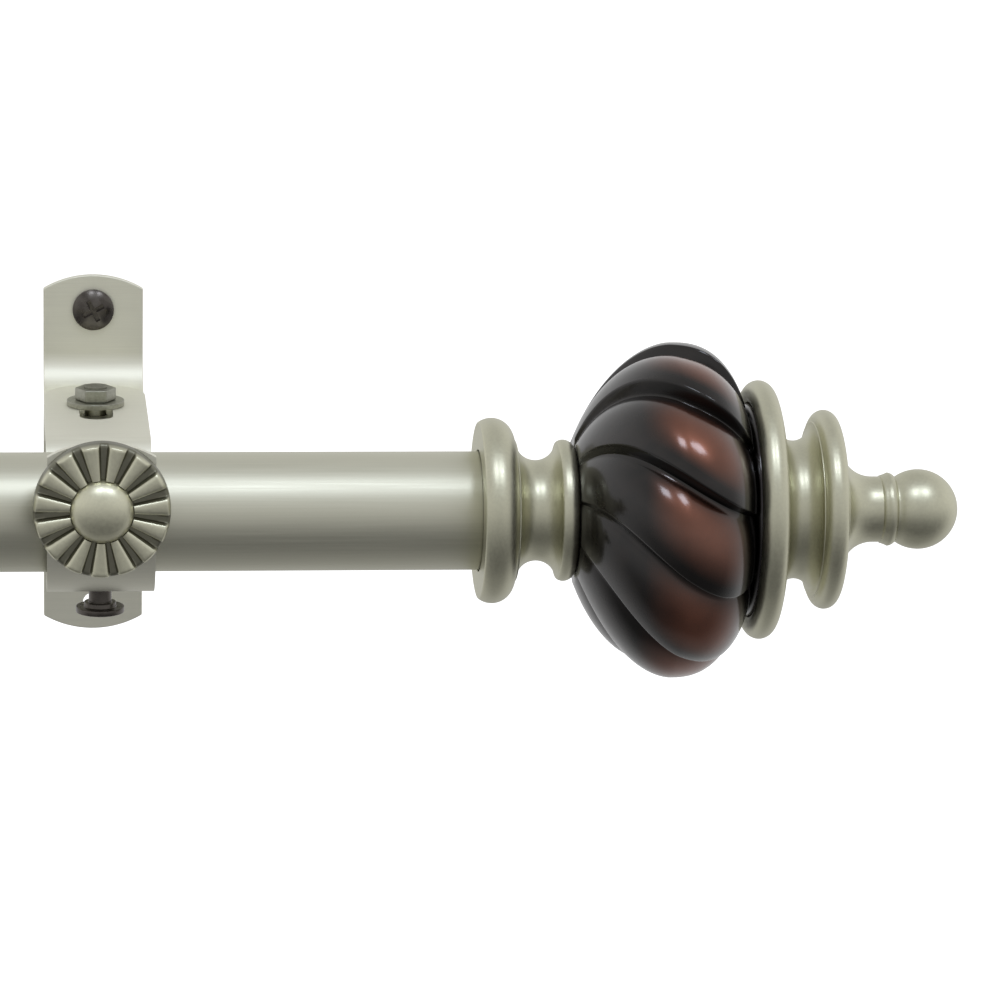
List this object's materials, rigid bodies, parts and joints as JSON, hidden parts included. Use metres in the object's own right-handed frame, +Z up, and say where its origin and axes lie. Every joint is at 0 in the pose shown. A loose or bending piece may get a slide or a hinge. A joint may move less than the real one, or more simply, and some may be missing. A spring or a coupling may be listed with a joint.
{
  "type": "curtain rod with brackets",
  "caption": "Telescoping satin nickel curtain rod with swirled dark bronze ball finials and strap wall brackets with fluted rosettes.",
  "frame": {"origin": "centre of the left wall bracket's upper screw hole, on the bracket's back face, which lies on the wall", "axes": "+X along the rod to its right end, +Y into the wall, +Z up"},
  "size_m": [0.9526, 0.151, 0.0838],
  "materials": {
    "satin_nickel": "satin",
    "nickel_casting": "satin",
    "bronze_lacquer": "gloss",
    "black_screw": "satin",
    "zinc_steel": "satin",
    "black_nylon": "matte"
  },
  "bodies": {
    "left_wall_bracket": {"left_wall_bracket": "satin_nickel", "left_wall_screw": "black_screw", "left_arm_screw": "zinc_steel"},
    "right_wall_bracket": {"right_wall_bracket": "satin_nickel", "right_wall_screw": "black_screw", "right_arm_screw": "zinc_steel"},
    "left_hook": {"left_rod_hook": "satin_nickel"},
    "right_hook": {"right_rod_hook": "satin_nickel"},
    "outer_rod": {"outer_tube": "satin_nickel", "right_end_plug": "black_nylon"},
    "inner_rod": {"inner_tube": "satin_nickel", "glide_bush": "black_nylon", "left_end_plug": "black_nylon"},
    "left_stud": {"left_finial_stud": "zinc_steel"},
    "left_finial": {"left_finial_base": "nickel_casting", "left_finial_ball": "bronze_lacquer", "left_finial_disc": "bronze_lacquer", "left_finial_cap": "nickel_casting"},
    "left_washer": {"left_arm_washer": "zinc_steel"},
    "left_nut": {"left_arm_nut": "zinc_steel"},
    "left_rosette_stud": {"left_rosette_stud": "zinc_steel"},
    "left_rosette": {"left_rosette": "nickel_casting"},
    "left_lock_screw": {"left_lock_screw": "black_screw"},
    "right_stud": {"right_finial_stud": "zinc_steel"},
    "right_finial": {"right_finial_base": "nickel_casting", "right_finial_ball": "bronze_lacquer", "right_finial_disc": "bronze_lacquer", "right_finial_cap": "nickel_casting"},
    "right_washer": {"right_arm_washer": "zinc_steel"},
    "right_nut": {"right_arm_nut": "zinc_steel"},
    "right_rosette_stud": {"right_rosette_stud": "zinc_steel"},
    "right_rosette": {"right_rosette": "nickel_casting"},
    "right_lock_screw": {"right_lock_screw": "black_screw"}
  },
  "joints": [
    {"name": "bracket_spacing", "type": "slide", "parent": "left_wall_bracket", "child": "right_wall_bracket", "axis": [1, 0, 0], "range_m": [-0.45, 0.02]},
    {"name": "projection_adjust", "type": "slide", "parent": "left_wall_bracket", "child": "left_hook", "axis": [0, -1, 0], "range_m": [0, 0.013]},
    {"name": "right_projection", "type": "slide", "parent": "right_wall_bracket", "child": "right_hook", "axis": [0, -1, 0], "range_m": [0, 0.013]},
    {"name": "rod_shift", "type": "slide", "parent": "left_hook", "child": "outer_rod", "axis": [1, 0, 0], "range_m": [-0.025, 0.025]},
    {"name": "rod_extension", "type": "slide", "parent": "outer_rod", "child": "inner_rod", "axis": [-1, 0, 0], "range_m": [-0.038, 0.469]},
    {"name": "right_stud_travel", "type": "slide", "parent": "outer_rod", "child": "right_stud", "axis": [1, 0, 0], "range_m": [0, 0.015]},
    {"name": "right_finial_turn", "type": "hinge", "parent": "right_stud", "child": "right_finial", "pos_m": [0.66655, -0.087, -0.0272], "axis": [1, 0, 0], "range_deg": [0, 5400]},
    {"name": "left_stud_travel", "type": "slide", "parent": "inner_rod", "child": "left_stud", "axis": [-1, 0, 0], "range_m": [0, 0.015]},
    {"name": "left_finial_turn", "type": "hinge", "parent": "left_stud", "child": "left_finial", "pos_m": [-0.08345, -0.087, -0.0272], "axis": [-1, 0, 0], "range_deg": [0, 5400]},
    {"name": "left_washer_lift", "type": "slide", "parent": "left_wall_bracket", "child": "left_washer", "axis": [0, 0, 1], "range_m": [0, 0.0016]},
    {"name": "left_nut_turn", "type": "hinge", "parent": "left_washer", "child": "left_nut", "pos_m": [0, -0.032, -0.0132], "axis": [0, 0, 1], "range_deg": [0, 720]},
    {"name": "left_rosette_travel", "type": "slide", "parent": "left_hook", "child": "left_rosette_stud", "axis": [0, -1, 0], "range_m": [0, 0.0024]},
    {"name": "left_rosette_turn", "type": "hinge", "parent": "left_rosette_stud", "child": "left_rosette", "pos_m": [0, -0.1075, -0.0223], "axis": [0, -1, 0], "range_deg": [0, 1080]},
    {"name": "left_lock_travel", "type": "slide", "parent": "left_hook", "child": "left_lock_screw", "axis": [0, 0, -1], "range_m": [0, 0.002]},
    {"name": "right_washer_lift", "type": "slide", "parent": "right_wall_bracket", "child": "right_washer", "axis": [0, 0, 1], "range_m": [0, 0.0016]},
    {"name": "right_nut_turn", "type": "hinge", "parent": "right_washer", "child": "right_nut", "pos_m": [0.583, -0.032, -0.0132], "axis": [0, 0, 1], "range_deg": [0, 720]},
    {"name": "right_rosette_travel", "type": "slide", "parent": "right_hook", "child": "right_rosette_stud", "axis": [0, -1, 0], "range_m": [0, 0.0024]},
    {"name": "right_rosette_turn", "type": "hinge", "parent": "right_rosette_stud", "child": "right_rosette", "pos_m": [0.583, -0.1075, -0.0223], "axis": [0, -1, 0], "range_deg": [0, 1080]},
    {"name": "right_lock_travel", "type": "slide", "parent": "right_hook", "child": "right_lock_screw", "axis": [0, 0, -1], "range_m": [0, 0.002]}
  ],
  "couplings": [
    {"joint": "right_projection", "follows": "projection_adjust", "ratio": 1},
    {"joint": "right_stud_travel", "follows": "right_finial_turn", "m_per_rad": 0.00015915},
    {"joint": "left_stud_travel", "follows": "left_finial_turn", "m_per_rad": 0.00015915},
    {"joint": "left_nut_turn", "follows": "left_washer_lift", "rad_per_m": 7854},
    {"joint": "left_rosette_turn", "follows": "left_rosette_travel", "rad_per_m": 7854},
    {"joint": "right_nut_turn", "follows": "right_washer_lift", "rad_per_m": 7854},
    {"joint": "right_rosette_turn", "follows": "right_rosette_travel", "rad_per_m": 7854}
  ]
}
